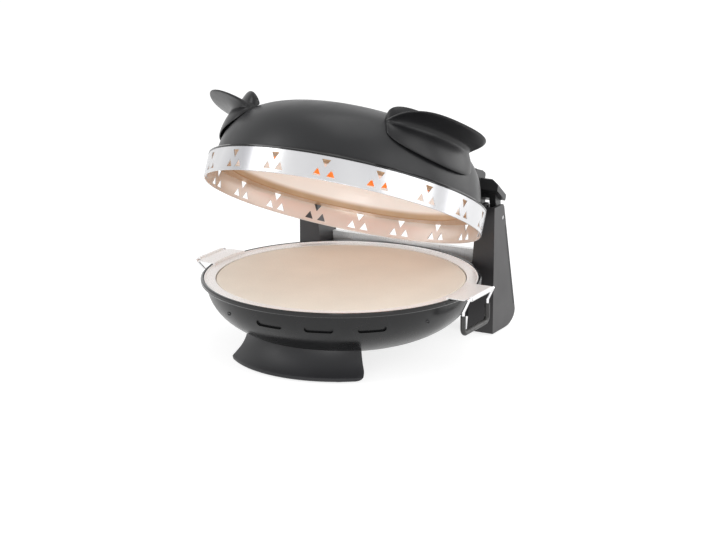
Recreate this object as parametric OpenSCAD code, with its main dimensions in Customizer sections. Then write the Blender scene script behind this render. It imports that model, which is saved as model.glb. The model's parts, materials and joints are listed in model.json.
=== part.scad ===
// Electric pizza maker: a deep bowl with a stone on a steel tray, and a domed lid on two rear posts.
// Millimetres, +Z up, front towards -Y. The origin is under the middle of the whole object.
// Most pieces are drawn about the bowl's own axis, then seat() moves them into the part's frame.

/* [Bowl] */
// Height of the rim above the table
rim_z = 98; // [94:1:104]
// Outer radius of the rim
rim_r = 180; // [178:0.5:182]
// Wall thickness of the moulded shells
shell_wall = 2.5; // [2:0.25:3]
// Width of one louvre recess in the bowl
vent_w = 36; // [30:1:40]
// Height of one louvre recess in the bowl
vent_h = 8; // [6:0.5:10]

/* [Stone tray] */
// Radius of the baking stone
stone_r = 160; // [156:0.5:160.5]
// Thickness of the baking stone
stone_t = 11.5; // [9:0.5:12]
// Radius of the tray's rolled edge
tray_r = 176; // [175:0.5:176]
// Distance of each bail's pivot from the middle
bail_x = 199; // [197:1:203]
// How far a bail's legs hang inside its pivot
bail_in = 7.5; // [6:0.5:9]
// Angle that the left bail is tucked in against the bowl
bail_tuck = 26; // [0:1:27]
// Half the width of a bail
bail_half = 34; // [33:1:36]
// How far a bail hangs below its pivot
bail_drop = 44; // [40:1:46]
// Radius of the bail wire
wire_r = 2; // [1.5:0.25:2.25]

/* [Lid] */
// Outer radius of the steel band
lid_r = 180.5; // [179:0.5:181.5]
// Height of the steel band
band_h = 30; // [29:0.5:33]
// Thickness of the steel band
band_t = 1; // [0.8:0.1:1.4]
// Height of the dome above the bottom of the band
dome_top = 123; // [120:1:128]
// Angle the lid stands open at rest
lid_open = 25.5; // [20:0.5:30]
// Gap between the rim and the band when the lid is shut
lid_gap = 11; // [10:0.5:13]
// How far the lid sits behind the bowl's axis when shut
lid_shift = 6; // [3:0.5:8]
// Number of groups of cut-outs round the band
groups = 18; // [12:1:20]

/* [Posts and hinge] */
// Distance of the hinge behind the bowl's axis
hinge_y = 172; // [171:0.5:173]
// Height of the hinge above the rim
hinge_up = 56; // [55:0.5:57]
// Radius of the hinge pin
pin_r = 3; // [2.5:0.5:3.5]
// Radius of the hinge bosses
knuckle_r = 5.5; // [5:0.5:6]
// Height of a post's top above the hinge
post_up = 18; // [17:0.5:19]
// Outer face of each post
post_out = 147; // [145:1:150]
// Width of a post at its top
post_top_w = 26; // [25:1:28]
// Width of a post at its foot
post_foot_w = 38; // [34:1:39]
// Front face of each post
post_front = 145; // [144.5:0.5:146]
// Rear edge of each post at its foot
post_back = 213.5; // [210:0.5:216]

/* [Front foot] */
// Radius of the foot's front edge on the table
foot_r = 141; // [136:1:146]
// Half of the foot's angle round the bowl
foot_half = 43.5; // [38:0.5:45]
// How far the foot's own centre is in front of the bowl's axis
foot_ahead = 8.8; // [7:0.1:10]

/* [Ear handles] */
// Angle of an ear's middle round from the front
ear_mid = 67.5; // [66:0.5:76]
// Half of the angle an ear covers
ear_half = 27; // [22:0.5:28]
// Radius reached by an ear's outer leaf
ear_reach = 198; // [190:1:200]
// Height of the outer leaf's edge above the bottom of the band
ear_edge = 107; // [100:1:108]
// Height of the cheek's lower edge above the bottom of the band
ear_low = 55; // [50:1:58]
// Radius of the fold between the cheek and the outer leaf
fold_r = 163.5; // [161:1:168]
// Height of the inner leaf's edge above the bottom of the band
inner_edge = 115; // [110:1:118]

/* [Hidden] */
fine = 128;
small = 32;
slack = 0.05;
step = 360 / groups;
hinge_z = rim_z + hinge_up;
post_in = post_out - post_top_w;
knuckle_w = 4.5;
tongue_in = post_in + 9.6;
tongue_w = 9;
post_top = hinge_z + post_up;
shelf_z = rim_z - 3;
pan_z = shelf_z - 10.5;
curl_r = wire_r + 1.2;
pivot_z = rim_z + 1.2;
flange_t = 1.2;
grip_r = 3.4;
bend_r = 7;
element_r = 3.5;
low_ring_r = 118;
low_ring_z = rim_z - 40;
up_ring_r = 125;
up_ring_z = 60;
term_x = 11;
housing_back = 194;
housing_front = post_front + 2;
housing_top = rim_z - 14;
cover_half = 102;
housing_low = 20;
knob_y = hinge_y;
knob_z = rim_z - 42;
// The open lid and the posts reach further back than the rim reaches forward.
origin_y = (post_back - rim_r) / 2;

// Curves: each is four control points [radius, height] of one cubic arc.
bowl_curve = [[rim_r - 6.1, rim_z - 4.2], [167.7, rim_z - 62.3], [98.2, rim_z - 83.4], [0, rim_z - 82]];
dome_curve = [[171.5, 35], [167.5, 95], [128, dome_top], [0, dome_top]];
liner_curve = [[157, 27], [152, 80], [100, dome_top - 16], [0, dome_top - 16]];
dish_curve = [[166, rim_z - 5.5], [165, rim_z - 36], [130, rim_z - 62], [0, rim_z - 62]];

function arc_point(p, t) = p[0] * pow(1 - t, 3) + p[1] * 3 * t * pow(1 - t, 2)
    + p[2] * 3 * t * t * (1 - t) + p[3] * pow(t, 3);
function arc_points(p, n = 26) = [for (i = [0:n]) arc_point(p, i / n)];
function flip(a) = [for (i = [len(a) - 1:-1:0]) a[i]];
// The same curve moved inwards by a wall: sx inwards, sz up or down, and kept off the axis.
function moved(a, sx, sz) = [for (p = a) [max(p[0] - sx * min(1, p[0] / 20), 0), p[1] + sz]];

// Placing.
module seat() { translate([0, -origin_y, 0]) children(); }
module lid_seat() {
    seat() translate([0, hinge_y, hinge_z]) rotate([-lid_open, 0, 0])
        translate([0, lid_shift - hinge_y, rim_z + lid_gap - hinge_z]) children();
}
module around(angle) { rotate([0, 0, angle]) children(); }
module both() { children(); mirror([1, 0, 0]) children(); }
// A rod along X, Y or Z, from one place to another.
module rod_x(r, x0, x1, y, z) {
    translate([x0, y, z]) rotate([0, 90, 0]) cylinder(r = r, h = x1 - x0, $fn = small);
}
module rod_y(r, y0, y1, x, z) {
    translate([x, y0, z]) rotate([-90, 0, 0]) cylinder(r = r, h = y1 - y0, $fn = small);
}
module rod_z(r, z0, z1, x, y) { translate([x, y, z0]) cylinder(r = r, h = z1 - z0, $fn = small); }
module ring(r0, r1, z0, z1) {
    difference() {
        translate([0, 0, z0]) cylinder(r = r1, h = z1 - z0, $fn = fine);
        translate([0, 0, z0 - 1]) cylinder(r = r0, h = z1 - z0 + 2, $fn = fine);
    }
}
module donut(r, tube, z) {
    translate([0, 0, z]) rotate_extrude($fn = fine) translate([r, 0]) circle(r = tube, $fn = small);
}
module revolved(points) { rotate_extrude($fn = fine) polygon(points); }
// A pan-head screw pointing down its own -Z, head on the origin plane.
module screw(r = 1.6, len = 8, head = 3.2) {
    difference() {
        union() {
            translate([0, 0, -len]) cylinder(r = r, h = len, $fn = 20);
            cylinder(r1 = head, r2 = head * 0.7, h = 1.8, $fn = 24);
        }
        translate([-head, -0.4, 1]) cube([2 * head, 0.8, 2]);
        translate([-0.4, -head, 1]) cube([0.8, 2 * head, 2]);
    }
}

// ---------------------------------------------------------------- bowl

vent_z = rim_z - 25;
vent_first = -2.5;
vent_step = 22.5;
vent_deep = 1.6;
cover_r = 64;
cover_screw_r = cover_r - 6;
element_hole = element_r + 1.5;
module bowl_solid(g = 0) {
    revolved(concat([[0, rim_z - 4.2]], moved(arc_points(bowl_curve), g, g)));
}
// Blind louvre recesses in the front of the bowl.
module vents() {
    difference() {
        for (k = [0:2]) around(vent_first + k * vent_step) translate([0, -rim_r + 30, vent_z])
            rotate([90, 0, 0]) linear_extrude(30) {
                square([vent_w - vent_h, vent_h], center = true);
                for (s = [-1, 1]) translate([s * (vent_w - vent_h) / 2, 0])
                    circle(r = vent_h / 2, $fn = small);
            }
        bowl_solid(vent_deep);
    }
}
// Places on the bowl's side, Z pointing out of it.
module side_fixings() {
    for (a = [-26.2, 68.5, -112]) around(a) translate([0, -rim_r + 11.25, rim_z - 24.3]) rotate([113, 0, 0])
        children();
}
// Places in the roof of the foot's hollow, Z pointing down.
module foot_fixings() {
    for (a = [-28, 28]) around(a) translate([0, -110, 15.95]) rotate([180, 0, 0]) children();
}
module bowl_shell() {
    color([0.16, 0.16, 0.17]) seat() difference() {
        revolved(concat(arc_points(bowl_curve),
            flip(moved(arc_points(bowl_curve), shell_wall, shell_wall))));
        translate([-200, -200, rim_z - 4.2]) cube([400, 400, 30]);
        vents();
        cylinder(r = cover_r - 12, h = 40, $fn = fine);
        for (x = [-term_x, term_x]) rod_y(element_hole, 100, 190, x, low_ring_z);
        for (a = [45:90:315]) around(a) rod_z(1.75, 8, 30, 0, cover_screw_r);
        side_fixings() rod_z(1.75, -12, 6, 0, 0);
        foot_fixings() rod_z(2, -20, 6, 0, 0);
    }
}
module side_screws() { color([0.6, 0.6, 0.6]) seat() side_fixings() screw(1.6, 6, 2.6); }
module bowl_rim() {
    edge = rim_r - 1.6;
    color([0.05, 0.05, 0.055]) seat() revolved([[rim_r - 5.6, rim_z - 5.8], [rim_r - 1, rim_z - 5.8],
        [rim_r, rim_z - 4.8], [rim_r, rim_z - 1.6], [edge, rim_z], [rim_r - 3.2, rim_z],
        [rim_r - 3.6, shelf_z], [rim_r - 14.5, shelf_z], [rim_r - 14.5, shelf_z - 1.2],
        [rim_r - 5.6, shelf_z - 1.2]]);
}
module lower_reflector() {
    outer = arc_points(dish_curve, 18);
    color([0.75, 0.75, 0.76]) seat() difference() {
        union() {
            revolved(concat(outer, flip(moved(outer, 1, 1))));
            ring(163.6, rim_r - 9.6, rim_z - 5.4, shelf_z - 1.3);
        }
        for (x = [-term_x, term_x]) rod_y(element_hole, 100, 190, x, low_ring_z);
    }
}
module lower_element() {
    color([0.35, 0.33, 0.31]) seat() {
        difference() {
            donut(low_ring_r, element_r, low_ring_z);
            translate([-term_x, low_ring_r - 12, low_ring_z - 6]) cube([2 * term_x, 24, 12]);
        }
        for (x = [-term_x, term_x]) rod_y(element_r - 0.6, low_ring_r - 1, 172, x, low_ring_z);
    }
}
module lower_element_clips() {
    color([0.7, 0.7, 0.7]) seat() for (a = [60, 180, 300]) around(a) difference() {
        translate([-4, -low_ring_r - 6, rim_z - 58]) cube([8, 12, 18 + element_r + 2]);
        translate([-5, -low_ring_r - 4.6, rim_z - 59]) cube([10, 9.2, 14]);
        rod_x(element_r + slack, -6, 6, -low_ring_r, low_ring_z);
        translate([-5, -low_ring_r - element_r - slack, low_ring_z]) cube([10, 2 * (element_r + slack), 12]);
        revolved(concat(moved(arc_points(dish_curve, 18), 1.15, 1.15), [[0, 0], [170, 0]]));
    }
}
module base_cover() {
    low = rim_z - 80.5;
    color([0.12, 0.12, 0.12]) seat() difference() {
        ring(0.01, cover_r, low - 2.6, low - 0.2);
        for (a = [0:45:315]) around(a) translate([-2, 18, low - 5]) cube([4, 26, 8]);
        for (a = [45:90:315]) around(a) rod_z(1.8, low - 6, low + 4, 0, cover_screw_r);
    }
}
module base_cover_screws() {
    color([0.6, 0.6, 0.6]) seat() for (a = [45:90:315]) around(a)
        translate([0, cover_screw_r, rim_z - 83.2]) rotate([180, 0, 0]) screw(1.6, 6);
}

// ---------------------------------------------------------------- front foot

foot_low = 1.2;
foot_corner = 13;
foot_curve = [[119, 44], [120.5, 24], [131, 13], [foot_r, 6]];
module foot_seat() { seat() translate([0, -foot_ahead, 0]) children(); }
// A shape swept round the foot's centre, ending g degrees short of its ends.
module foot_wedge(g) {
    rotate([0, 0, -90 - foot_half + g]) rotate_extrude(angle = 2 * (foot_half - g), $fn = fine) children();
}
module front_foot() {
    color([0.17, 0.17, 0.18]) difference() {
        foot_seat() foot_wedge(0) polygon(concat(arc_points(foot_curve, 12),
            [[foot_r, foot_low + 1.4], [foot_r - 1.4, foot_low], [92, foot_low], [92, 44]]));
        foot_seat() foot_wedge(4)
            polygon([[96, -1], [foot_r - 12, -1], [foot_r - 13, 6], [122, 16], [96, 16]]);
        // rounded lower corners
        foot_seat() both() around(foot_half) difference() {
            translate([-foot_corner, -160, 0]) cube([foot_corner + 1, 80, foot_corner + foot_low]);
            rod_y(foot_corner, -170, -70, -foot_corner, foot_corner + foot_low);
        }
        seat() translate([0, 0, -0.1]) scale([1.0008, 1.0008, 1]) bowl_solid();
        seat() foot_fixings() rod_z(2, -40, 6, 0, 0);
    }
}
module front_foot_pads() {
    color([0.04, 0.04, 0.04]) foot_seat() for (a = [-30, 30]) around(a)
        translate([0, -(foot_r - 8), 0]) scale([2.2, 1, 1]) cylinder(r = 3.5, h = foot_low, $fn = small);
}
module foot_screws() { color([0.6, 0.6, 0.6]) seat() foot_fixings() screw(1.8, 16, 3.4); }

// ---------------------------------------------------------------- posts

post_low = 1.5;
back_top = [hinge_y + 2.5, post_top - 3.6];
seam = 5;
heel = [30, 18];
pad_y = [post_front + 10, post_front + 32];
pad_x = post_out - 18;
// Where the slanting back of a post is at a height.
function back_at(z) = back_top[0]
    + (post_back - back_top[0]) * (back_top[1] - z) / (back_top[1] - post_low - heel[1]);
// Side outline of a post, brought in by g on every side.
module post_outline(g) {
    polygon(concat(
        [[post_front + g, post_low + g], [post_front + g, post_top - g], [back_top[0] - 3 - g, post_top - g],
         [back_top[0] - g, back_top[1]]],
        [for (a = [0:-15:-90]) [post_back - heel[0] + (heel[0] - g) * cos(a),
            post_low + heel[1] + (heel[1] - g) * sin(a)]]));
}
module post_block(g) {
    difference() {
        translate([post_out - post_foot_w - 2 + g, 0, 0]) rotate([90, 0, 90])
            linear_extrude(post_foot_w + 2 - 2 * g) post_outline(g);
        // the inner face leans in towards the foot
        rotate([90, 0, 0]) linear_extrude(600, center = true) polygon([
            [0, -5], [post_out - post_foot_w + g, -5], [post_out - post_foot_w + g, post_low],
            [post_in + g, post_top], [post_in + g, 300], [0, 300]]);
    }
}
// Bosses inside the post's walls that carry the hinge pin.
module post_bosses() {
    intersection() {
        union() {
            rod_x(knuckle_r, post_in - 4, post_in + knuckle_w, hinge_y, hinge_z);
            rod_x(knuckle_r, post_out - knuckle_w, post_out, hinge_y, hinge_z);
        }
        post_block(0);
    }
}
// The rear strip of the post is its cover.
module rear_strip(g) {
    low = post_low + 26;
    high = hinge_z - 12;
    rotate([90, 0, 90]) linear_extrude(200) polygon([
        [back_at(high) - seam + g, high], [300, high], [300, low], [back_at(low) - seam + g, low]]);
}
module post_shell() {
    difference() {
        union() {
            difference() {
                post_block(0);
                difference() {
                    post_block(3);
                    translate([0, 0, -1]) cube([300, 300, post_low + 4]);
                }
            }
            post_bosses();
        }
        // open top and back for the lid's hinge tongue
        translate([post_in + knuckle_w, post_front + 3, hinge_z - 7])
            cube([post_top_w - 2 * knuckle_w, 60, 60]);
        rear_strip(0);
        rod_x(pin_r + slack, 0, 200, hinge_y, hinge_z);
        for (y = pad_y) rod_z(2, -5, 12, pad_x, y);
    }
}
module right_post() { color([0.20, 0.20, 0.21]) seat() post_shell(); }
module left_post() {
    color([0.20, 0.20, 0.21]) seat() difference() {
        mirror([1, 0, 0]) post_shell();
        rod_x(4.2, -post_out - 5, -post_out + 8, knob_y, knob_z);
    }
}
module post_cover() {
    difference() {
        intersection() {
            post_block(0);
            rear_strip(0.1);
        }
        for (z = [rim_z - 50, rim_z + 20])
            rod_y(1.9, back_at(z) - 30, back_at(z) + 30, post_out - 15, z);
    }
}
module right_post_cover() { color([0.13, 0.13, 0.14]) seat() post_cover(); }
module left_post_cover() { color([0.13, 0.13, 0.14]) seat() mirror([1, 0, 0]) post_cover(); }
module post_cover_screws() {
    color([0.6, 0.6, 0.6]) seat() both() for (z = [rim_z - 50, rim_z + 20])
        translate([post_out - 15, back_at(z) + 1, z]) rotate([-90, 0, 0]) screw(1.6, 7);
}
module rear_foot_pads() {
    color([0.04, 0.04, 0.04]) seat() both() for (y = pad_y) {
        rod_z(6, 0, post_low, pad_x, y);
        rod_z(1.9, post_low, 8, pad_x, y);
    }
}

// ---------------------------------------------------------------- rear housing between the posts

// Where the leaning inner face of a post is at a height.
function inner_at(z) = post_in - (post_foot_w - post_top_w) * (post_top - z) / (post_top - post_low);
module housing_block(g) {
    low = housing_low + g;
    top = housing_top - g;
    translate([0, housing_back - g, 0]) rotate([90, 0, 0])
        linear_extrude(housing_back - housing_front - 2 * g)
            polygon([[-inner_at(low) + 0.1 + g, low], [inner_at(low) - 0.1 - g, low],
                [inner_at(top) - 0.1 - g, top], [-inner_at(top) + 0.1 + g, top]]);
}
module rear_housing() {
    color([0.14, 0.14, 0.15]) seat() difference() {
        housing_block(0);
        housing_block(2.5);
        scale([1.002, 1.002, 1]) bowl_solid();
        translate([-cover_half, housing_back - 3, housing_low + 6])
            cube([2 * cover_half, 10, housing_top - housing_low - 12]);
    }
}
module rear_housing_cover() {
    color([0.12, 0.12, 0.13]) seat() difference() {
        translate([-cover_half + 0.2, housing_back - 2.4, housing_low + 6.2])
            cube([2 * cover_half - 0.4, 2.4, housing_top - housing_low - 12.4]);
        for (x = [-50:12.5:50]) translate([x - 2, housing_back - 10, housing_low + 34]) cube([4, 20, 18]);
        rod_y(8.05, housing_back - 10, housing_back + 10, 72, housing_low + 20);
        for (x = [-88, 88]) rod_y(1.8, housing_back - 10, housing_back + 10, x, housing_top - 16);
    }
}
module rear_cover_screws() {
    color([0.6, 0.6, 0.6]) seat() for (x = [-88, 88])
        translate([x, housing_back + 0.05, housing_top - 16]) rotate([-90, 0, 0]) screw(1.6, 7);
}
bridge_h = 18.5;
module rear_bridge() {
    color([0.78, 0.78, 0.80]) seat() difference() {
        translate([-post_in, rim_r + 1.6, housing_top + 0.2]) cube([2 * post_in, 9, bridge_h]);
        translate([-post_in - 10, rim_r + 2.8, housing_top - 1]) cube([2 * post_in + 20, 6.6, bridge_h]);
        both() post_block(-0.1);
    }
}
module cord_inlet() {
    color([0.05, 0.05, 0.05]) seat() difference() {
        union() {
            rod_y(8, housing_back - 6, housing_back + 6, 72, housing_low + 20);
            rod_y(11, housing_back + 0.05, housing_back + 2.5, 72, housing_low + 20);
            rod_y(10, housing_back - 6, housing_back - 2.6, 72, housing_low + 20);
        }
        rod_y(3.6, housing_back - 8, housing_back + 8, 72, housing_low + 20);
    }
}
module thermostat() {
    color([0.55, 0.5, 0.42]) seat() difference() {
        translate([-post_out + 3.5, knob_y - 12, knob_z - 12]) cube([18, 24, 24]);
        rod_x(3 + slack, -post_out - 10, -post_out + 10, knob_y, knob_z);
    }
}
// Steel shaft with a flat that carries the knob.
module knob_spindle() {
    color([0.7, 0.7, 0.7]) seat() difference() {
        rod_x(3, -post_out - 10, -post_out + 9.8, knob_y, knob_z);
        translate([-post_out - 11, knob_y + 1.8, knob_z - 4]) cube([9, 4, 8]);
    }
}
module control_knob() {
    color([0.12, 0.12, 0.12]) seat() difference() {
        union() {
            rod_x(15, -post_out - 14, -post_out - 1, knob_y, knob_z);
            translate([-post_out - 17, knob_y - 2.5, knob_z - 13]) cube([4, 5, 26]);
        }
        difference() {
            rod_x(3.06, -post_out - 10.5, -post_out, knob_y, knob_z);
            translate([-post_out - 11, knob_y + 1.86, knob_z - 4]) cube([8.9, 4, 8]);
        }
        translate([-post_out - 17.4, knob_y - 0.6, knob_z + 5]) cube([1, 1.2, 7]);
    }
}
module thermal_fuse() {
    color([0.8, 0.8, 0.78]) seat() {
        translate([-34, 168, housing_low + 22]) cube([16, 8, 2]);
        rod_x(3, -32, -20, 172, housing_low + 27);
    }
}
module terminal_block() {
    color([0.85, 0.83, 0.76]) seat() difference() {
        translate([26, 164, housing_low + 2.6]) cube([42, 18, 14]);
        for (x = [33, 47, 61]) rod_z(3, housing_low + 8, 60, x, 173);
    }
}
module base_wiring() {
    color([0.72, 0.2, 0.12]) seat() {
        rod_x(1.3, 12.5, 46, 178, housing_low + 22);
        rod_z(1.3, housing_low + 17, housing_low + 20.6, 47, 178);
        rod_x(1.3, -60, -12.5, 178, housing_low + 34);
        rod_x(1.3, -16, 24, 172, housing_low + 26);
    }
}

// ---------------------------------------------------------------- hinge

bracket_t = 1.2;
// A steel U inside the post, open at the top, that backs up the bosses.
module hinge_bracket() {
    in = post_in + knuckle_w + 0.3;
    wide = post_top_w - 2 * knuckle_w - 0.6;
    difference() {
        translate([in, hinge_y - 8, hinge_z - 14]) cube([wide, 12, 20]);
        translate([in + bracket_t, hinge_y - 20, hinge_z - 14 + bracket_t])
            cube([wide - 2 * bracket_t, 40, 40]);
        rod_x(pin_r + slack, 0, 200, hinge_y, hinge_z);
    }
}
module right_hinge_bracket() { color([0.7, 0.7, 0.72]) seat() hinge_bracket(); }
module left_hinge_bracket() { color([0.7, 0.7, 0.72]) seat() mirror([1, 0, 0]) hinge_bracket(); }
module hinge_pins() {
    color([0.8, 0.8, 0.82]) seat() both()
        rod_x(pin_r, web_in + 1, post_out - 0.5, hinge_y, hinge_z);
}
module hinge_springs() {
    color([0.45, 0.45, 0.47]) seat() both() for (i = [0:1])
        translate([post_in + knuckle_w + 2.7 + i * 1.3, hinge_y, hinge_z]) rotate([0, 90, 0])
            rotate_extrude($fn = 48) translate([pin_r + 1, 0]) circle(r = 0.5, $fn = 16);
}

// ---------------------------------------------------------------- stone tray and bails

flange_half = 37;
curl_half = bail_half - 6;
module tray_pan() {
    wall = stone_r + 1;
    lip = shelf_z + 0.3;
    color([0.85, 0.85, 0.85]) seat() difference() {
        union() {
            ring(0.01, wall + 1, pan_z - 1, pan_z);
            ring(wall, wall + 1, pan_z - 0.5, lip + 1);
            ring(wall, tray_r, lip, lip + 1);
            donut(tray_r - 1.2, 1.2, lip + 1.2);
            both() {
                intersection() {
                    ring(tray_r - 3, tray_r - 0.6, lip, pivot_z + flange_t / 2);
                    translate([0, -flange_half, 0]) cube([300, 2 * flange_half, 200]);
                }
                difference() {
                    translate([160, -flange_half, pivot_z - flange_t / 2])
                        cube([bail_x - 160, 2 * flange_half, flange_t]);
                    cylinder(r = tray_r - 3, h = 200, $fn = fine);
                }
                rod_y(curl_r, -curl_half, curl_half, bail_x, pivot_z);
            }
        }
        both() {
            rod_y(wire_r + 0.08, -60, 60, bail_x, pivot_z);
            for (s = [0, 1]) mirror([0, s, 0]) translate([bail_x - 5, curl_half, pivot_z - 5])
                cube([20, 14, 10]);
        }
    }
}
module baking_stone() {
    color([0.90, 0.84, 0.72]) seat() translate([0, 0, pan_z]) union() {
        cylinder(r = stone_r, h = stone_t - 1.5, $fn = fine);
        translate([0, 0, stone_t - 1.5]) cylinder(r1 = stone_r, r2 = stone_r - 1.5, h = 1.5, $fn = fine);
    }
}
jog = 16;
leg_x = bail_x - bail_in;
// The hanging part of a bail: legs up to a height, bends and the bar across the bottom.
module u_legs(r, top) {
    low = pivot_z - bail_drop;
    for (s = [0, 1]) mirror([0, s, 0]) {
        rod_z(r, low + bend_r, top, leg_x, bail_half);
        translate([leg_x, bail_half - bend_r, low + bend_r]) rotate([90, 0, 90]) rotate([0, 0, -90])
            rotate_extrude(angle = 90, $fn = 48) translate([bend_r, 0]) circle(r = r, $fn = small);
    }
    rod_y(r, -bail_half + bend_r, bail_half - bend_r, leg_x, low);
}
// A whole bail: the legs lean out to the pivot above them.
module bail_wire() {
    u_legs(wire_r, pivot_z - jog);
    rod_y(wire_r, -bail_half, bail_half, bail_x, pivot_z);
    for (s = [0, 1]) mirror([0, s, 0]) {
        translate([leg_x, bail_half, pivot_z - jog]) {
            sphere(r = wire_r + 0.12, $fn = small);
            rotate([0, atan(bail_in / jog), 0])
                cylinder(r = wire_r, h = norm([bail_in, jog]), $fn = small);
        }
        translate([bail_x, bail_half, pivot_z]) sphere(r = wire_r + 0.12, $fn = small);
    }
}
module bail_grip() {
    difference() {
        u_legs(grip_r, pivot_z - 21);
        u_legs(wire_r + 0.02, pivot_z - 20);
    }
}
// The left bail is a mirrored one, swung in towards the bowl.
module tucked() {
    seat() translate([-bail_x, 0, pivot_z]) rotate([0, -bail_tuck, 0]) translate([bail_x, 0, -pivot_z])
        mirror([1, 0, 0]) children();
}
module right_bail_wire() { color([0.8, 0.8, 0.8]) seat() bail_wire(); }
module left_bail_wire() { color([0.8, 0.8, 0.8]) tucked() bail_wire(); }
module right_bail_grip() { color([0.08, 0.08, 0.08]) seat() bail_grip(); }
module left_bail_grip() { color([0.08, 0.08, 0.08]) tucked() bail_grip(); }

// ---------------------------------------------------------------- lid, drawn shut about its own axis

tri_w = 11;
tri_h = 10;
module triangle(up) {
    polygon(up ? [[-tri_w / 2, 0], [tri_w / 2, 0], [0, tri_h]]
        : [[-tri_w / 2, tri_h], [tri_w / 2, tri_h], [0, 0]]);
}
module cut_group() {
    rotate([90, 0, 0]) linear_extrude(12, center = true) {
        translate([0, 15.8]) triangle(false);
        translate([-8.6, 4.6]) triangle(true);
        translate([8.6, 4.6]) triangle(true);
    }
}
// Angle of a group of cut-outs. The groups stand a little wider apart at the front right.
cut_spread = 3.4;
cut_wide_at = 32;
function cut_at(k) = k * step + cut_spread * sin(k * step - cut_wide_at);
module lid_band() {
    color([0.82, 0.82, 0.83]) lid_seat() difference() {
        union() {
            ring(lid_r - band_t, lid_r, 0.8, band_h);
            donut(lid_r - 0.8, 0.8, 0.8);
        }
        for (k = [0:groups - 1]) around(cut_at(k)) translate([0, -lid_r, 0]) cut_group();
    }
}
module lid_trim_ring() {
    color([0.07, 0.07, 0.075]) lid_seat() revolved([[166, band_h + 0.1], [lid_r + 0.4, band_h + 0.1],
        [lid_r + 0.4, band_h + 2], [lid_r - 1, band_h + 3.2], [175, band_h + 3.2], [174.4, band_h + 5],
        [172.2, band_h + 5], [172.2, band_h + 3.6], [166, band_h + 3.6]]);
}
module dome_solid(g = 0) {
    revolved(concat([[0, band_h], [dome_curve[0][0] + g, band_h]],
        [for (p = arc_points(dome_curve)) [p[0] > 0 ? p[0] + g : 0, p[1] + g]]));
}
module lid_dome() {
    low = band_h + 3.7;
    inner = [for (p = moved(arc_points(dome_curve), shell_wall, -shell_wall)) if (p[1] > low) p];
    color([0.20, 0.20, 0.21]) lid_seat() difference() {
        revolved(concat([[dome_curve[0][0], low]], arc_points(dome_curve), flip(inner),
            [[dome_curve[0][0] - shell_wall, low]]));
        both() ear_fixings() rod_z(1.7, -12, 3, 0, 0);
        both() arm_fixings() rod_z(1.8, -12, 3, 0, 0);
    }
}
module lid_liner() {
    outer = arc_points(liner_curve, 20);
    color([0.93, 0.91, 0.86]) lid_seat() difference() {
        revolved(concat([[163, 26.3], [163, 27.2]], outer, flip(moved(outer, 1, -1)), [[156, 26.3]]));
        for (x = [-term_x, term_x]) rod_z(element_r + 1, 40, 120, x, up_ring_r);
    }
}
module lid_insulation() {
    inner = moved(arc_points(liner_curve, 16), -0.4, 0.4);
    outer = moved(arc_points(dome_curve, 16), 6.5, -6.5);
    color([0.88, 0.86, 0.78]) lid_seat() difference() {
        revolved(concat([[159, 45], [163.5, 45]], [for (p = outer) if (p[1] > 46) p],
            flip([for (p = inner) if (p[1] > 46) p])));
        for (x = [-term_x, term_x]) rod_z(element_r + 1, 40, 140, x, up_ring_r);
        translate([-term_x - 4, up_ring_r - 3, up_ring_z + 31]) cube([2 * term_x + 8, 6, 8]);
    }
}
module ledge_ring() {
    color([0.72, 0.52, 0.36]) lid_seat() ring(156.5, lid_r - band_t - 0.1, 25, 26.2);
}
module upper_element() {
    color([0.9, 0.35, 0.1]) lid_seat() {
        difference() {
            donut(up_ring_r, element_r, up_ring_z);
            translate([-term_x, up_ring_r - 12, up_ring_z - 6]) cube([2 * term_x, 24, 12]);
        }
        for (x = [-term_x, term_x]) rod_z(element_r - 0.6, up_ring_z - 1, up_ring_z + 32, x, up_ring_r);
    }
}
module upper_element_clips() {
    color([0.7, 0.7, 0.7]) lid_seat() for (a = [60, 180, 300]) around(a) difference() {
        translate([-3.5, -up_ring_r - 5, up_ring_z - element_r - 1.2]) cube([7, 10, 34]);
        translate([-5, -up_ring_r - 3.8, up_ring_z + element_r + 1.2]) cube([10, 7.6, 50]);
        rod_x(element_r + slack, -6, 6, -up_ring_r, up_ring_z);
        translate([-5, -up_ring_r - element_r - slack, up_ring_z]) cube([10, 2 * (element_r + slack), 12]);
        difference() {
            translate([-10, -200, 40]) cube([20, 200, 100]);
            revolved(concat([[0, 20], [155.8, 20]], moved(arc_points(liner_curve, 20), 1.2, -1.2)));
        }
    }
}

// ---------------------------------------------------------------- ear handles

fold_h = ear_edge - 14;
leaf_t = 2.4;
stations = 22;
dome_heights = [for (p = arc_points(dome_curve, 60)) [p[1], p[0]]];
// Radius of the dome's outside at a height.
function dome_at(h) = lookup(h, dome_heights);
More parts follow.
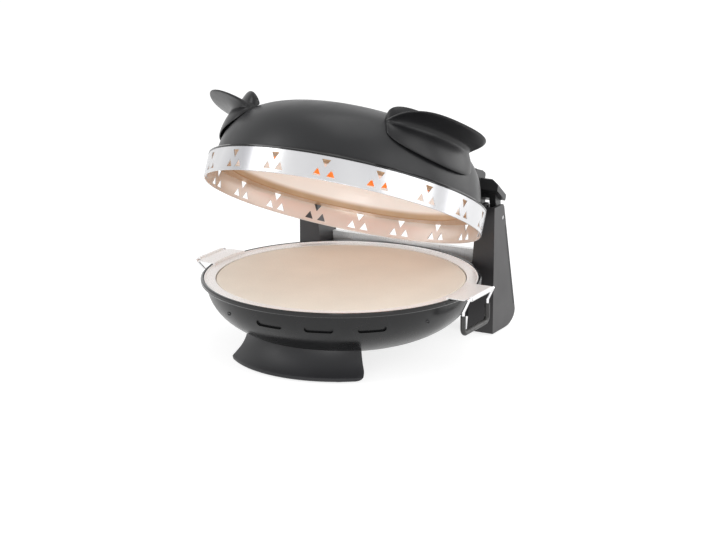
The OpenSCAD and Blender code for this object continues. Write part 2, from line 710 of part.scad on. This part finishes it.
// Section of an ear, round its Y shape: [group, radius, height, height at the ends, stand-off at the ends].
// Groups: 0 cheek, 1 stem, 2 outer leaf, 3 inner leaf.
ear_section = concat([
    [0, fold_r + 11, ear_low, 83.2, 1], [0, fold_r + 9.5, ear_low + 13, 85, 1.8],
    [0, fold_r + 5.5, ear_low + 27, 87.5, 2.6], [1, fold_r, fold_h, 90, 3],
    [2, fold_r + 11, fold_h + 5.5, 91, 3], [2, fold_r + 23, fold_h + 10, 92, 3],
    [2, ear_reach, ear_edge, 93, 3.5], [2, ear_reach - 1, ear_edge + leaf_t, 94.5, 3],
    [2, ear_reach - 11, ear_edge - 0.5, 95, 2.6], [2, fold_r + 8, ear_edge - 5.5, 95.5, 2.5],
    [1, fold_r - 4, ear_edge - 7.5, 96, 2.2], [3, fold_r - 9, inner_edge - 8, 97, 2.2],
    [3, fold_r - 12.5, inner_edge, 98.5, 2], [3, fold_r - 15, inner_edge + 0.5, 99, 1.4],
    [3, fold_r - 19, inner_edge - 6, 99.4, 0.8]],
    [for (h = [99, 95.5, 92, 88.5, 85]) [1, dome_at(h) + 0.12, h, h, 0.12]], [
    [1, fold_r - 3.5, fold_h - 5, 84.6, 0.2], [0, fold_r + 2, fold_h - 14, 84.2, 0.35],
    [0, fold_r + 6.5, ear_low + 11, 83.8, 0.5], [0, fold_r + 8, ear_low + 0.8, 83.4, 0.7]]);
// How fully the section stands out along the ear, for each group, and how it slopes.
function ear_full(g, s) =
    pow(max(1 - pow(abs(s), [2, 2.5, 3.7, 4.4][g]), 0), [0.4, 0.62, 0.84, 0.3][g]);
function ear_slope(g) = [-5, 0, -5, -4][g];
// A point of the section at a place along the ear, kept just off the dome.
function ear_rh(p, s) = let (e = ear_full(p[0], s), end = [dome_at(p[3]) + p[4], p[3]],
    q = end + ([p[1], p[2] + ear_slope(p[0]) * s] - end) * e)
    [max(q[0], dome_at(q[1]) + min(p[4], 0.4)), q[1]];
function ear_xyz(p, s) = let (q = ear_rh(p, s), a = ear_mid + ear_half * s)
    [q[0] * sin(a), -q[0] * cos(a), q[1]];
module ear() {
    m = len(ear_section);
    points = [for (i = [0:stations]) for (p = ear_section) ear_xyz(p, sin(-90 + 180 * i / stations))];
    sides = [for (i = [0:stations - 1]) for (j = [0:m - 1]) each
        [[i * m + j, (i + 1) * m + j, i * m + (j + 1) % m],
         [(i + 1) * m + j, (i + 1) * m + (j + 1) % m, i * m + (j + 1) % m]]];
    caps = [[for (j = [0:m - 1]) j], [for (j = [m - 1:-1:0]) stations * m + j]];
    polyhedron(points = points, faces = concat(sides, caps), convexity = 6);
}
// Places square to the dome's inside, Z pointing into the lid: under an ear's stem, and at an arm's foot.
module ear_fixings() {
    for (a = [-16, 16]) around(ear_mid + a - 180) translate([0, 143.9, 88.9])
        rotate([139.4, 0, 0]) children();
}
module arm_fixings() {
    for (a = [-2.8, 2.8]) around(134.5 + a - 180) translate([0, 149.2, 83.8])
        rotate([132.8, 0, 0]) children();
}
module right_ear() { color([0.11, 0.11, 0.115]) lid_seat() ear(); }
module left_ear() { color([0.11, 0.11, 0.115]) lid_seat() mirror([1, 0, 0]) ear(); }
module ear_screws() { color([0.6, 0.6, 0.6]) lid_seat() both() ear_fixings() screw(1.5, 10, 2.6); }

// ---------------------------------------------------------------- hinge arms, drawn with the lid shut

arm_y = hinge_y - lid_shift;
arm_z = hinge_up - lid_gap;
web_in = 104;
web_out = 117.4;
// A side outline drawn about the hinge, spread from one X to another.
module side_shape(x0, x1, points) {
    translate([x0, arm_y, arm_z]) rotate([90, 0, 90]) linear_extrude(x1 - x0) polygon(points);
}
module hinge_arm() {
    difference() {
        union() {
            // cap over the top of the post, its upper outer edge bevelled
            difference() {
                side_shape(post_in, post_out, [[-34.5, 27], [-38.4, 40.3], [-36.8, 41.8], [-30, 41.6],
                    [-17, 37.5], [-8, 31.8], [-5, 27], [-5, 21.6]]);
                translate([post_out, arm_y - 36.2, arm_z + 35.3]) rotate([-10.9, 0, 0]) rotate([0, 33, 0])
                    translate([-40, -30, 0]) cube([80, 80, 40]);
            }
            // tongue down inside the post to the pin
            side_shape(tongue_in, tongue_in + tongue_w, [[-26, 30], [-7, 27], [-3, 22], [4.6, 3], [0, -5],
                [-5.2, -1.6], [-19, 18]]);
            rod_x(knuckle_r, tongue_in, tongue_in + tongue_w, arm_y, arm_z);
            side_shape(web_out - 1, tongue_in + 1, [[-26, 30], [-7, 27], [-3, 22], [-2.8, 20], [-20, 20]]);
            // web beside the post, down to the pin's inner end
            side_shape(web_in, web_out, [[-58, 37], [-57, 48.6], [-38, 51.6], [-29, 50.8],
                [-27, 48.5], [-26, 43], [-14, 37], [-6, 28], [5, 3], [0, -5.4], [-8, -4],
                [-30, 10], [-46, 24]]);
            rod_x(knuckle_r, web_in, web_out, arm_y, arm_z);
            side_shape(web_out - 1, post_in + 1, [[-58, 37], [-57, 48.6], [-38, 51.6], [-29, 50.8],
                [-27, 48.5], [-26, 43], [-14, 37], [-8, 31], [-30, 28], [-40, 29]]);
            // foot on the dome
            translate([0, 0, arm_z + 36]) linear_extrude(13) polygon([[post_in + 1, arm_y - 40],
                [post_in + 1, arm_y - 57], [106, arm_y - 78], [90, arm_y - 66], [web_in, arm_y - 40]]);
        }
        rod_x(pin_r + slack, 0, 200, arm_y, arm_z);
        dome_solid(0.05);
        arm_fixings() rod_z(1.65, -12, 3, 0, 0);
    }
}
module right_hinge_arm() { color([0.13, 0.13, 0.135]) lid_seat() hinge_arm(); }
module left_hinge_arm() { color([0.13, 0.13, 0.135]) lid_seat() mirror([1, 0, 0]) hinge_arm(); }
module arm_screws() { color([0.6, 0.6, 0.6]) lid_seat() both() arm_fixings() screw(1.6, 8, 2.6); }
module lid_wiring() {
    color([0.72, 0.2, 0.12]) lid_seat() rod_x(1.3, -term_x - 2, term_x + 2, up_ring_r, up_ring_z + 35);
}

bowl_shell();
bowl_rim();
lower_reflector();
lower_element();
lower_element_clips();
base_cover();
base_cover_screws();
side_screws();
front_foot();
front_foot_pads();
foot_screws();
left_post();
right_post();
left_post_cover();
right_post_cover();
post_cover_screws();
rear_foot_pads();
rear_housing();
rear_housing_cover();
rear_cover_screws();
rear_bridge();
left_hinge_bracket();
right_hinge_bracket();
hinge_pins();
hinge_springs();
thermostat();
knob_spindle();
control_knob();
thermal_fuse();
terminal_block();
base_wiring();
cord_inlet();
tray_pan();
baking_stone();
left_bail_wire();
left_bail_grip();
right_bail_wire();
right_bail_grip();
lid_band();
lid_trim_ring();
lid_dome();
lid_insulation();
lid_liner();
ledge_ring();
upper_element();
upper_element_clips();
left_ear();
right_ear();
ear_screws();
left_hinge_arm();
right_hinge_arm();
arm_screws();
lid_wiring();
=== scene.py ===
"""Electric pizza maker: finishes, smooth forms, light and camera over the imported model."""
import json
import math

import bmesh
import bpy
from mathutils import Matrix, Vector


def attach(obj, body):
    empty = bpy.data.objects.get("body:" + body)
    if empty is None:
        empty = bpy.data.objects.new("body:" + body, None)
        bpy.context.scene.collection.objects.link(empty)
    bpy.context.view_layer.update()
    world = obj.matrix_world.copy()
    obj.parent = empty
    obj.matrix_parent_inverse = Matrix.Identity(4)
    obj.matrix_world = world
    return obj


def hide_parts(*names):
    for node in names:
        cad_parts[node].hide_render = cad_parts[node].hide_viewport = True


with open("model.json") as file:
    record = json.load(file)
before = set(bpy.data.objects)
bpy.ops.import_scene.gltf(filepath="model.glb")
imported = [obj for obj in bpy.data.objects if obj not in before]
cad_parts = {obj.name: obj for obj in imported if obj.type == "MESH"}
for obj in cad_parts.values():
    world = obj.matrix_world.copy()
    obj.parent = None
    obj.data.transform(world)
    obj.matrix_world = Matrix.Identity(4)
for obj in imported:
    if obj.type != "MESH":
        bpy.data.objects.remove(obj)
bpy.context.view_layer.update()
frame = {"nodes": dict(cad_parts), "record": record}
nodes = frame["nodes"]

# ---------------------------------------------------------------- camera

IMAGE_W = 716
FOCAL_PX = 2175.4                  # focal length in pixels of the 716 px frame
CAM_AZ, CAM_EL = 29.6, 15.28       # degrees round from the front, and up
CAM_DIST = 2.782                   # metres from the aim point
CAM_YAW, CAM_PITCH = -0.55, -0.16  # degrees that the view is turned off the aim point
AIM_Y, RIM_Z = -0.02555, 0.098     # the aim point, in the plane of the rim
SENSOR = 36.0                      # sensor width in millimetres, Blender's own


def add_camera():
    az, el = math.radians(CAM_AZ), math.radians(CAM_EL)
    away = Vector((math.sin(az) * math.cos(el), -math.cos(az) * math.cos(el), math.sin(el)))
    yaw, pitch = az + math.radians(CAM_YAW), el + math.radians(CAM_PITCH)
    look = Vector((-math.sin(yaw) * math.cos(pitch), math.cos(yaw) * math.cos(pitch), -math.sin(pitch)))
    right = Vector((math.cos(yaw), math.sin(yaw), 0))
    up = right.cross(look)
    data = bpy.data.cameras.new("camera")
    data.sensor_width = SENSOR
    data.sensor_fit = "HORIZONTAL"
    data.lens = FOCAL_PX * SENSOR / IMAGE_W
    camera = bpy.data.objects.new("camera", data)
    axes = Matrix((right, up, -look)).transposed().to_4x4()
    camera.matrix_world = Matrix.Translation(Vector((0, AIM_Y, RIM_Z)) + away * CAM_DIST) @ axes
    bpy.context.scene.collection.objects.link(camera)
    bpy.context.scene.camera = camera


add_camera()

# ---------------------------------------------------------------- materials

NOISE_RANGE = (0.3, 0.7)           # most of a noise texture's values lie in here
WORN_POINTINESS = (0.53, 0.62)     # from a flat face to a well-rubbed corner
INWARD = -0.03                     # metres: distance from the axis times how far a face looks away from it
SATIN_SPECULAR = 0.32              # specular level of the matt mouldings
LID_LEAN = math.radians(25.5)      # how far the lid stands open at rest
LID_PLACE = (0.0, -0.01395, 0.18485)   # middle of the band's lower edge

CHARCOAL = (0.016, 0.0163, 0.0175)
BLACK = (0.006, 0.006, 0.0065)
STEEL = (0.90, 0.90, 0.91)
CREAM = (0.97, 0.905, 0.80)


class Nodes:
    """A small builder of shader nodes for one material."""

    def __init__(self, name):
        self.material = bpy.data.materials.new(name)
        self.material.use_nodes = True
        self.tree = self.material.node_tree
        self.shader = self.tree.nodes["Principled BSDF"]
        self.coords = self.tree.nodes.new("ShaderNodeTexCoord").outputs["Object"]

    def link(self, a, b):
        self.tree.links.new(a, b)

    def noise(self, scale, detail=4.0, roughness=0.5, vector=None):
        node = self.tree.nodes.new("ShaderNodeTexNoise")
        node.inputs["Scale"].default_value = scale
        node.inputs["Detail"].default_value = detail
        node.inputs["Roughness"].default_value = roughness
        self.link(vector or self.coords, node.inputs["Vector"])
        return node.outputs["Fac"]

    def stretched(self, x, y, z):
        node = self.tree.nodes.new("ShaderNodeMapping")
        node.inputs["Scale"].default_value = (x, y, z)
        self.link(self.coords, node.inputs["Vector"])
        return node.outputs["Vector"]

    def ramp(self, fac, stops):
        node = self.tree.nodes.new("ShaderNodeValToRGB")
        while len(node.color_ramp.elements) < len(stops):
            node.color_ramp.elements.new(0.5)
        for element, (place, color) in zip(node.color_ramp.elements, stops):
            element.position = place
            element.color = (*color, 1)
        self.link(fac, node.inputs["Fac"])
        return node.outputs["Color"]

    def spread(self, fac, low, high):
        """A number from low to high as fac crosses the range where noise mostly lies."""
        node = self.tree.nodes.new("ShaderNodeMapRange")
        node.inputs["From Min"].default_value, node.inputs["From Max"].default_value = NOISE_RANGE
        node.inputs["To Min"].default_value = low
        node.inputs["To Max"].default_value = high
        self.link(fac, node.inputs["Value"])
        return node.outputs["Result"]

    def mix(self, fac, a, b):
        node = self.tree.nodes.new("ShaderNodeMix")
        node.data_type = "RGBA"
        for value, socket in ((fac, node.inputs["Factor"]), (a, node.inputs["A"]), (b, node.inputs["B"])):
            if hasattr(value, "is_linked"):
                self.link(value, socket)
            elif socket.name == "Factor":
                socket.default_value = value
            else:
                socket.default_value = (*value, 1)
        return node.outputs["Result"]

    def bump(self, height, strength, distance):
        node = self.tree.nodes.new("ShaderNodeBump")
        node.inputs["Strength"].default_value = strength
        node.inputs["Distance"].default_value = distance
        self.link(height, node.inputs["Height"])
        self.link(node.outputs["Normal"], self.shader.inputs["Normal"])

    def edges(self):
        """Near 1 on worn convex edges, near 0 elsewhere."""
        node = self.tree.nodes.new("ShaderNodeNewGeometry")
        worn = self.tree.nodes.new("ShaderNodeMapRange")
        worn.inputs["From Min"].default_value, worn.inputs["From Max"].default_value = WORN_POINTINESS
        self.link(node.outputs["Pointiness"], worn.inputs["Value"])
        return worn.outputs["Result"]

    def turned(self, source, kind, place=(0, 0, 0), lean=0.0):
        """A point or direction seen from a place, with the lid's lean taken out."""
        node = self.tree.nodes.new("ShaderNodeMapping")
        node.vector_type = kind
        shift = self.vector_math("SUBTRACT", source, place) if kind == "POINT" else source
        node.inputs["Rotation"].default_value = (lean, 0, 0)
        self.link(shift, node.inputs["Vector"])
        return node.outputs["Vector"]

    def vector_math(self, operation, a, b, output="Vector"):
        node = self.tree.nodes.new("ShaderNodeVectorMath")
        node.operation = operation
        for value, socket in ((a, node.inputs[0]), (b, node.inputs[1])):
            if hasattr(value, "is_linked"):
                self.link(value, socket)
            else:
                socket.default_value = value
        return node.outputs[output]

    def inside(self, place, lean):
        """1 on the faces of a leaning ring that look at its own axis, 0 on the others."""
        normal = self.tree.nodes.new("ShaderNodeTexCoord").outputs["Normal"]
        out = self.vector_math("MULTIPLY", self.turned(self.coords, "POINT", place, lean), (1, 1, 0))
        toward = self.vector_math("DOT_PRODUCT", out, self.turned(normal, "VECTOR", lean=lean), "Value")
        node = self.tree.nodes.new("ShaderNodeMath")
        node.operation = "LESS_THAN"
        node.inputs[1].default_value = INWARD
        self.link(toward, node.inputs[0])
        return node.outputs["Value"]

    def up_the_lid(self, low, high):
        """0 below one height in the lid, measured from the band's lower edge, and 1 above the other."""
        split = self.tree.nodes.new("ShaderNodeSeparateXYZ")
        self.link(self.turned(self.coords, "POINT", LID_PLACE, LID_LEAN), split.inputs["Vector"])
        node = self.tree.nodes.new("ShaderNodeMapRange")
        node.interpolation_type = "SMOOTHSTEP"
        node.inputs["From Min"].default_value = low
        node.inputs["From Max"].default_value = high
        self.link(split.outputs["Z"], node.inputs["Value"])
        return node.outputs["Result"]

    def set(self, **values):
        for key, value in values.items():
            self.shader.inputs[key.replace("_", " ")].default_value = value
        return self


def shade(color, factor):
    return tuple(min(c * factor, 1) for c in color)


def plastic(name, color, rough, grain=900.0, grain_depth=0.00005, wear=0.25):
    """Moulded plastic: fine spark grain, faint flow marks, and edges rubbed a little lighter."""
    n = Nodes(name).set(Specular_IOR_Level=SATIN_SPECULAR)
    tint = n.ramp(n.noise(7, 3), [(0.3, shade(color, 0.86)), (0.7, shade(color, 1.14))])
    speck = n.spread(n.noise(grain, 2), 0, 0.22)
    n.link(n.mix(n.edges(), n.mix(speck, tint, shade(color, 1.5)), shade(color, 1 + 3 * wear)),
           n.shader.inputs["Base Color"])
    n.link(n.spread(n.noise(24, 4), rough - 0.05, rough + 0.07), n.shader.inputs["Roughness"])
    n.bump(n.noise(grain, 3, 0.6), 0.35, grain_depth)
    return n


def metal(name, color, rough, brushed=(1, 1, 1), depth=0.00002):
    """Polished or brushed sheet and wire, with fine lines along the short stretch and faint smears."""
    n = Nodes(name)
    lines = n.noise(420, 3, 0.6, n.stretched(*brushed))
    smears = n.mix(n.spread(n.noise(11, 4), 0, 0.5), color, shade(color, 0.9))
    n.link(smears, n.shader.inputs["Base Color"])
    n.link(n.spread(lines, rough * 0.75, rough * 1.35), n.shader.inputs["Roughness"])
    n.bump(lines, 0.18, depth)
    return n.set(Metallic=1.0)


def rubbery(name, color, rough=0.75):
    """Rubber, silicone and wire covering: matt, cloudy and finely pitted."""
    n = Nodes(name)
    cloudy = n.ramp(n.noise(60, 5), [(0.35, shade(color, 0.8)), (0.7, shade(color, 1.4))])
    n.link(cloudy, n.shader.inputs["Base Color"])
    n.link(n.spread(n.noise(180, 3), rough - 0.08, rough + 0.1), n.shader.inputs["Roughness"])
    n.bump(n.noise(700, 2), 0.3, 0.00008)
    return n


def make_stone():
    """Cream baking stone with fine pores and faint blotches."""
    n = Nodes("stone")
    pores = n.noise(520, 4, 0.7)
    blotch = n.ramp(n.noise(16, 5), [(0.3, shade(CREAM, 0.93)), (0.72, CREAM)])
    n.link(n.mix(n.spread(pores, 0, 0.35), blotch, shade(CREAM, 0.72)), n.shader.inputs["Base Color"])
    n.link(n.spread(pores, 0.7, 0.9), n.shader.inputs["Roughness"])
    n.bump(pores, 0.5, 0.0002)
    return n


def make_enamel():
    """Pale enamel with a painted glow above a painted warm tan shade in a belt round its lower edge."""
    n = Nodes("liner_enamel")
    white = n.ramp(n.noise(9, 3), [(0.3, (0.92, 0.905, 0.87)), (0.7, (0.94, 0.93, 0.905))])
    # painted shade: the enamel is painted tan below the belt and pale above it
    painted_tan_shade = n.ramp(n.noise(22, 4), [(0.3, (0.50, 0.34, 0.19)), (0.7, (0.62, 0.45, 0.28))])
    above_shade_belt = n.up_the_lid(0.030, 0.037)
    n.link(n.mix(above_shade_belt, painted_tan_shade, white), n.shader.inputs["Base Color"])
    # painted light: above the belt the enamel glows faintly, though it is no lamp
    n.link(n.mix(above_shade_belt, (0, 0, 0), (0.11, 0.105, 0.095)), n.shader.inputs["Emission Color"])
    n.link(n.spread(n.noise(90, 3), 0.28, 0.42), n.shader.inputs["Roughness"])
    n.bump(n.noise(260, 3), 0.15, 0.00006)
    return n.set(Coat_Weight=0.3, Coat_Roughness=0.2, Emission_Strength=1.0)


def make_hot():
    """The upper element's tube, glowing orange."""
    n = Nodes("element_hot")
    glow = n.ramp(n.noise(60, 3), [(0.3, (1.0, 0.16, 0.015)), (0.7, (1.0, 0.30, 0.05))])
    n.link(glow, n.shader.inputs["Base Color"])
    n.link(glow, n.shader.inputs["Emission Color"])
    n.link(n.spread(n.noise(300, 3), 0.5, 0.7), n.shader.inputs["Roughness"])
    return n.set(Emission_Strength=0.4)


def make_blanket():
    """The lid's fibre insulation."""
    n = Nodes("insulation")
    fibre = n.noise(240, 6, 0.7, n.stretched(1, 1, 5))
    fluff = n.ramp(fibre, [(0.3, (0.62, 0.58, 0.46)), (0.7, (0.90, 0.87, 0.78))])
    n.link(fluff, n.shader.inputs["Base Color"])
    n.bump(fibre, 0.8, 0.0006)
    return n.set(Roughness=0.95)


def make_band():
    """Polished band with painted reflection streaks outside; inside, a painted rosy reflection of the
    oven's warm light.
    """
    n = metal("band_steel", STEEL, 0.2, (1, 1, 9))
    # painted reflection: grey streaks round the band stand in for the room it mirrors
    painted_reflection_streaks = n.ramp(n.noise(6, 2, 0.5, n.stretched(1, 1, 0.15)),
                    [(0.35, (0.46, 0.46, 0.48)), (0.52, (0.72, 0.72, 0.73)), (0.68, (0.56, 0.56, 0.58))])
    # painted reflection: the band's inner faces are tinted rosy by the warm light they mirror
    painted_rosy_reflection = n.ramp(n.noise(14, 3), [(0.3, (0.96, 0.92, 0.90)), (0.7, (0.98, 0.96, 0.95))])
    n.link(n.mix(n.inside(LID_PLACE, LID_LEAN), painted_reflection_streaks, painted_rosy_reflection), n.shader.inputs["Base Color"])
    return n.set(Metallic=0.6)


def painted_white_sheet(name):
    """Bright tinned sheet, its colour a painted near-white reflection of a light room."""
    # painted reflection: near-white and barely metallic, in place of the white room the sheet mirrors
    n = metal(name, (0.97, 0.965, 0.96), 0.3, (3, 3, 1), 0.000003)
    return n.set(Metallic=0.15)


FINISHES = {
    "bowl_shell": lambda: plastic("bowl_shell", shade(CHARCOAL, 0.6), 0.28).set(Specular_IOR_Level=0.36),
    "rim_gloss": lambda: plastic("rim_gloss", BLACK, 0.16, 500, 0.00001, 0.1).set(
        Coat_Weight=0.25, Coat_Roughness=0.05),
    "reflector_steel": lambda: metal("reflector_steel", (0.72, 0.72, 0.73), 0.25, (1, 1, 6)),
    "element": lambda: metal("element", (0.16, 0.14, 0.13), 0.5, depth=0.00006),
    "element_hot": make_hot,
    "clip_steel": lambda: metal("clip_steel", (0.6, 0.6, 0.61), 0.3, (1, 1, 5)),
    "base_plastic": lambda: plastic("base_plastic", (0.012, 0.012, 0.013), 0.5),
    "foot_plastic": lambda: plastic("foot_plastic", (0.020, 0.020, 0.022), 0.42),
    "rubber": lambda: rubbery("rubber", (0.02, 0.02, 0.02)),
    "stud_black": lambda: metal("stud_black", (0.07, 0.07, 0.072), 0.35),
    "screw_steel": lambda: metal("screw_steel", (0.55, 0.55, 0.56), 0.3),
    "post_plastic": lambda: plastic("post_plastic", (0.020, 0.019, 0.020), 0.36).set(
        Specular_IOR_Level=0.5),
    "cover_plastic": lambda: plastic("cover_plastic", (0.012, 0.012, 0.013), 0.42),
    "bridge_steel": lambda: painted_white_sheet("bridge_steel"),
    "thermostat_body": lambda: plastic("thermostat_body", (0.62, 0.56, 0.44), 0.5, 400),
    "spindle_steel": lambda: metal("spindle_steel", (0.62, 0.62, 0.63), 0.3, (8, 1, 1)),
    "knob_plastic": lambda: plastic("knob_plastic", (0.02, 0.02, 0.021), 0.35),
    "fuse_ceramic": lambda: plastic("fuse_ceramic", (0.8, 0.8, 0.76), 0.4, 300),
    "wire_red": lambda: rubbery("wire_red", (0.42, 0.05, 0.03), 0.45),
    "tray_steel": lambda: painted_white_sheet("tray_steel"),
    "stone": make_stone,
    "bail_chrome": lambda: metal("bail_chrome", (0.88, 0.88, 0.89), 0.09),
    "bail_sleeve": lambda: rubbery("bail_sleeve", (0.030, 0.029, 0.028), 0.42),
    "band_steel": make_band,
    "dome_plastic": lambda: plastic("dome_plastic", CHARCOAL, 0.36),
    "insulation": make_blanket,
    "liner_enamel": make_enamel,
    # painted shade: the ledge ring is painted copper-brown for the warm shade in the gap under the liner's
    # rim
    "ledge_steel": lambda: metal("ledge_steel", (0.55, 0.33, 0.17), 0.36, (2, 2, 1)).set(Metallic=0.3),
    "ear_plastic": lambda: plastic("ear_plastic", (0.010, 0.010, 0.011), 0.34),
    "arm_plastic": lambda: plastic("arm_plastic", (0.020, 0.020, 0.021), 0.36).set(
        Specular_IOR_Level=0.5),
}
materials = {}
for part in frame["record"]["subparts"]:
    name = part["material_slot"]
    if name not in materials:
        materials[name] = FINISHES[name]().material
    obj = nodes[part["node"]]
    obj.data.materials.clear()
    obj.data.materials.append(materials[name])

# ---------------------------------------------------------------- smooth forms

WELD = 0.00002                     # metres: points closer than this are one
FLAT_JOIN = math.radians(30)       # triangles join into one face up to this fold
SQUARE_JOIN = math.radians(60)     # and while its corners stay this near to square
ROUND_ALL = 180                    # no corner is kept sharp


def smooth_form(name, body, node, slot, levels=0, corner=38):
    """A moulding with the node's own shape; folds below the corner angle, in degrees, look round."""
    mesh = nodes[node].data.copy()
    mesh.name = name
    shape = bmesh.new()
    shape.from_mesh(mesh)
    bmesh.ops.remove_doubles(shape, verts=shape.verts, dist=WELD)
    if levels:
        bmesh.ops.join_triangles(shape, faces=shape.faces, angle_face_threshold=FLAT_JOIN,
                                 angle_shape_threshold=SQUARE_JOIN)
    bmesh.ops.recalc_face_normals(shape, faces=shape.faces)
    for face in shape.faces:
        face.smooth = True
    for edge in shape.edges:
        edge.smooth = len(edge.link_faces) == 2 and edge.calc_face_angle(0) < math.radians(corner)
    shape.to_mesh(mesh)
    shape.free()
    piece = bpy.data.objects.new(name, mesh)
    bpy.context.scene.collection.objects.link(piece)
    if levels:
        rounding = piece.modifiers.new("rounding", "SUBSURF")
        rounding.levels = rounding.render_levels = levels
    mesh.materials.clear()
    mesh.materials.append(materials[slot])
    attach(piece, body)
    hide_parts(node)


for side in ("left", "right"):
    smooth_form(side + "_ear_moulding", "lid", side + "_ear", "ear_plastic", levels=2, corner=ROUND_ALL)
smooth_form("front_foot_moulding", "base", "front_foot", "foot_plastic")
smooth_form("bowl_moulding", "base", "bowl_shell", "bowl_shell")
smooth_form("dome_moulding", "lid", "lid_dome", "dome_plastic")
smooth_form("liner_pressing", "lid", "lid_liner", "liner_enamel")

# ---------------------------------------------------------------- floor, world and lamps

FLOOR_HALF = 12                    # metres from the middle of the floor to its edge
FLOOR_DROP = 0.0005                # metres that the floor lies under the feet
FLOOR_GREYS = (0.40, 0.44)         # what the floor sends back to the object
FLOOR_GLOW = 0.78                  # added to the floor as it is seen
ROOM_LIGHT, ROOM_SEEN = 0.62, 1.0  # the world as it lights the object, and as it is seen


def straight_rays(tree):
    """1 for what the eye sees, straight or in a mirror or glass, and 0 for what lights the object."""
    path = tree.nodes.new("ShaderNodeLightPath")
    result = path.outputs["Is Camera Ray"]
    for name in ("Is Glossy Ray", "Is Transmission Ray"):
        either = tree.nodes.new("ShaderNodeMath")
        either.operation = "MAXIMUM"
        tree.links.new(result, either.inputs[0])
        tree.links.new(path.outputs[name], either.inputs[1])
        result = either.outputs["Value"]
    return result


def add_floor():
    mesh = bpy.data.meshes.new("floor")
    shape = bmesh.new()
    bmesh.ops.create_grid(shape, x_segments=8, y_segments=8, size=FLOOR_HALF)
    shape.to_mesh(mesh)
    shape.free()
    floor = bpy.data.objects.new("floor", mesh)
    floor.location.z = -FLOOR_DROP
    bpy.context.scene.collection.objects.link(floor)
    material = bpy.data.materials.new("floor")
    material.use_nodes = True
    tree = material.node_tree
    for node in list(tree.nodes):
        tree.nodes.remove(node)
    out = tree.nodes.new("ShaderNodeOutputMaterial")
    diffuse = tree.nodes.new("ShaderNodeBsdfDiffuse")
    noise = tree.nodes.new("ShaderNodeTexNoise")
    noise.inputs["Scale"].default_value = 0.6
    ramp = tree.nodes.new("ShaderNodeValToRGB")
    for element, grey in zip(ramp.color_ramp.elements, FLOOR_GREYS):
        element.color = (grey, grey, grey, 1)
    glow = tree.nodes.new("ShaderNodeEmission")
    strength = tree.nodes.new("ShaderNodeMath")
    strength.operation = "MULTIPLY"
    strength.inputs[1].default_value = FLOOR_GLOW
    add = tree.nodes.new("ShaderNodeAddShader")
    link = tree.links.new
    link(noise.outputs["Fac"], ramp.inputs["Fac"])
    link(ramp.outputs["Color"], diffuse.inputs["Color"])
    link(straight_rays(tree), strength.inputs[0])
    link(strength.outputs[0], glow.inputs["Strength"])
    link(diffuse.outputs[0], add.inputs[0])
    link(glow.outputs[0], add.inputs[1])
    link(add.outputs[0], out.inputs["Surface"])
    mesh.materials.append(material)


def add_world():
    world = bpy.data.worlds.new("studio")
    world.use_nodes = True
    tree = world.node_tree
    link = tree.links.new
    background = tree.nodes["Background"]
    seen = tree.nodes.new("ShaderNodeMapRange")
    seen.inputs["To Min"].default_value = ROOM_LIGHT
    seen.inputs["To Max"].default_value = ROOM_SEEN
    link(straight_rays(tree), seen.inputs["Value"])
    link(seen.outputs["Result"], background.inputs["Strength"])
    background.inputs["Color"].default_value = (1, 1, 1, 1)
    bpy.context.scene.world = world


def add_lamp(name, place, aim, size, power):
    """A softbox: places and sizes in metres, power in watts."""
    data = bpy.data.lights.new(name, "AREA")
    data.shape = "RECTANGLE"
    data.size, data.size_y = size
    data.energy = power
    lamp = bpy.data.objects.new(name, data)
    lamp.location = place
    lamp.visible_camera = False
    lamp.rotation_euler = (Vector(aim) - Vector(place)).to_track_quat("-Z", "Y").to_euler()
    bpy.context.scene.collection.objects.link(lamp)


add_floor()
add_world()
add_lamp("softbox_right", (1.6, -0.2, 0.9), (0, 0, 0.15), (1.2, 1.4), 9)
add_lamp("softbox_rear", (1.3, 1.3, 0.5), (0.1, 0.1, 0.15), (1.4, 1.0), 9)
add_lamp("softbox_left", (-1.3, -1.2, 1.0), (0, 0, 0.15), (0.8, 1.2), 9)
add_lamp("softbox_top", (0.1, 0.1, 1.7), (0, 0, 0.1), (1.3, 1.0), 6)
add_lamp("softbox_front", (0.5, -1.7, 0.25), (0, 0, 0.2), (1.0, 0.4), 7)

bpy.context.scene.view_settings.view_transform = "Standard"
